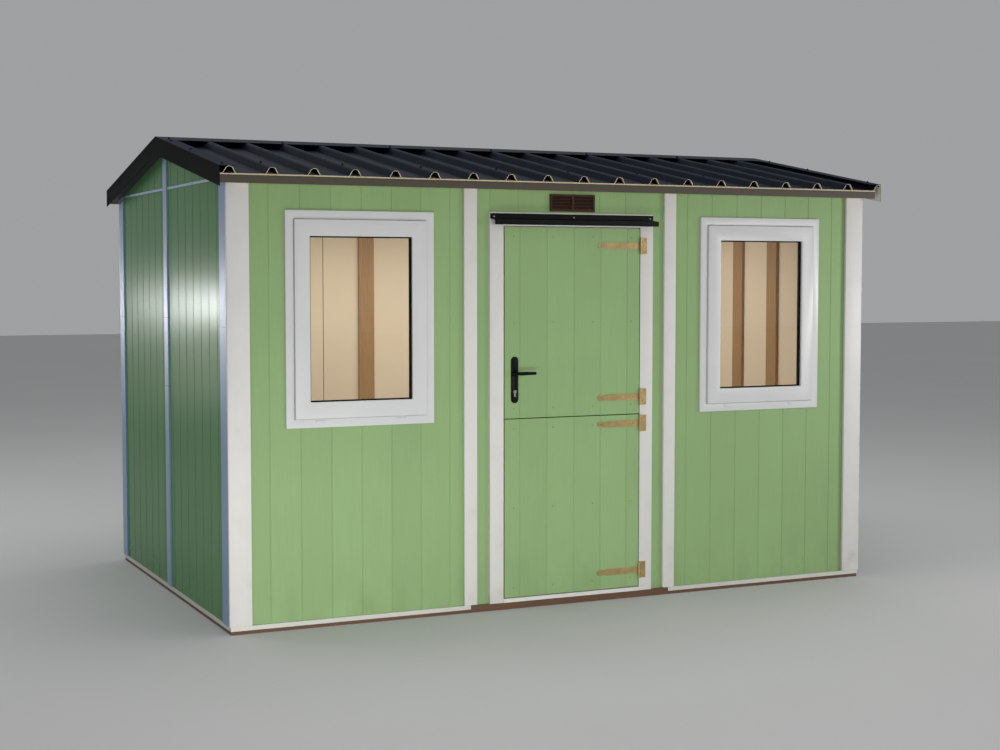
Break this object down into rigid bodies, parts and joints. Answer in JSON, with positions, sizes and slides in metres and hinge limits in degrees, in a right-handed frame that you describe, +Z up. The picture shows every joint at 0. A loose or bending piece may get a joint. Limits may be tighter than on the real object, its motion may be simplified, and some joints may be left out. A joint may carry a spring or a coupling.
{
  "type": "garden office",
  "caption": "Insulated garden office with boarded front, fluted steel sides, ribbed low-pitched roof, windows and a stable door with lever handle.",
  "frame": {"origin": "on the ground under the middle of the roof", "axes": "+X along the ridge to the right seen from the front, +Y from the front to the back, +Z up"},
  "size_m": [3.742, 2.4898, 2.4207],
  "materials": {
    "treated_timber": "rough sawn, brown stained",
    "floor_board": "bare floor board",
    "pale_metal": "pale matt paint",
    "green_boards": "matt green paint on jointed boards",
    "cream_lining": "cream, smooth",
    "green_steel": "glossy green on fluted steel",
    "frame_timber": "planed orange timber",
    "white_trim": "satin white paint",
    "bare_aluminium": "mill finish, cool grey",
    "white_plastic": "satin white",
    "clear_glass": "clear double glazing",
    "dark_steel": "dark blue grey satin",
    "dark_flashing": "near black satin",
    "brown_flashing": "brown grey satin",
    "black_metal": "satin black",
    "brown_plastic": "dark brown",
    "gold_zinc": "yellow passivated zinc",
    "bright_metal": "bright nickel"
  },
  "bodies": {
    "building": {"sole_frame": "treated_timber", "floor_joists": "treated_timber", "floor_deck": "floor_board", "base_flashings": "pale_metal", "side_base_flashings": "pale_metal", "front_cladding_left": "green_boards", "front_cladding_right": "green_boards", "door_bay_cladding_sides": "green_boards", "door_bay_cladding_head": "green_boards", "front_wall_left": "cream_lining", "front_wall_right": "cream_lining", "door_bay_wall_sides": "cream_lining", "door_bay_wall_head": "cream_lining", "side_wall_left": "green_steel", "side_wall_right": "green_steel", "gable_peak_left": "green_steel", "gable_peak_right": "green_steel", "back_wall": "green_steel", "corner_posts": "frame_timber", "wall_posts": "frame_timber", "wall_plates": "frame_timber", "ridge_beam": "frame_timber", "gable_rafters": "frame_timber", "corner_trims": "white_trim", "joint_covers": "white_trim", "door_jambs": "white_trim", "door_head": "white_trim", "door_threshold": "white_trim", "corner_angles": "bare_aluminium", "joint_strips": "bare_aluminium", "gable_bands": "bare_aluminium", "window_frames": "white_plastic", "window_sashes": "white_plastic", "window_glass": "clear_glass", "roof_panel_front": "cream_lining", "roof_panel_back": "cream_lining", "roof_sheet_front": "dark_steel", "roof_sheet_back": "dark_steel", "ridge_cap": "dark_steel", "barge_flashing_left": "dark_flashing", "barge_flashing_right": "dark_flashing", "eaves_flashings": "brown_flashing", "weatherbar": "black_metal", "vent_grille": "brown_plastic", "hinge_plates": "gold_zinc"},
    "top_leaf": {"door_top_leaf": "green_boards", "top_leaf_straps": "gold_zinc", "handle_plates": "black_metal", "lock_cylinder": "bright_metal"},
    "bottom_leaf": {"door_bottom_leaf": "green_boards", "bottom_leaf_straps": "gold_zinc"},
    "lever": {"lever_handle": "black_metal"}
  },
  "joints": [
    {"name": "top_leaf_hinge", "type": "hinge", "parent": "building", "child": "top_leaf", "pos_m": [0.3915, -1.157, 1.455], "axis": [0, 0, 1], "range_deg": [0, 150]},
    {"name": "bottom_leaf_hinge", "type": "hinge", "parent": "building", "child": "bottom_leaf", "pos_m": [0.3915, -1.157, 0.514], "axis": [0, 0, 1], "range_deg": [0, 150]},
    {"name": "lever_turn", "type": "hinge", "parent": "top_leaf", "child": "lever", "pos_m": [-0.334, -1.13, 1.2], "axis": [0, 1, 0], "range_deg": [0, 45], "stiffness_Nm_per_rad": 0.8, "springref_deg": -11.46}
  ]
}
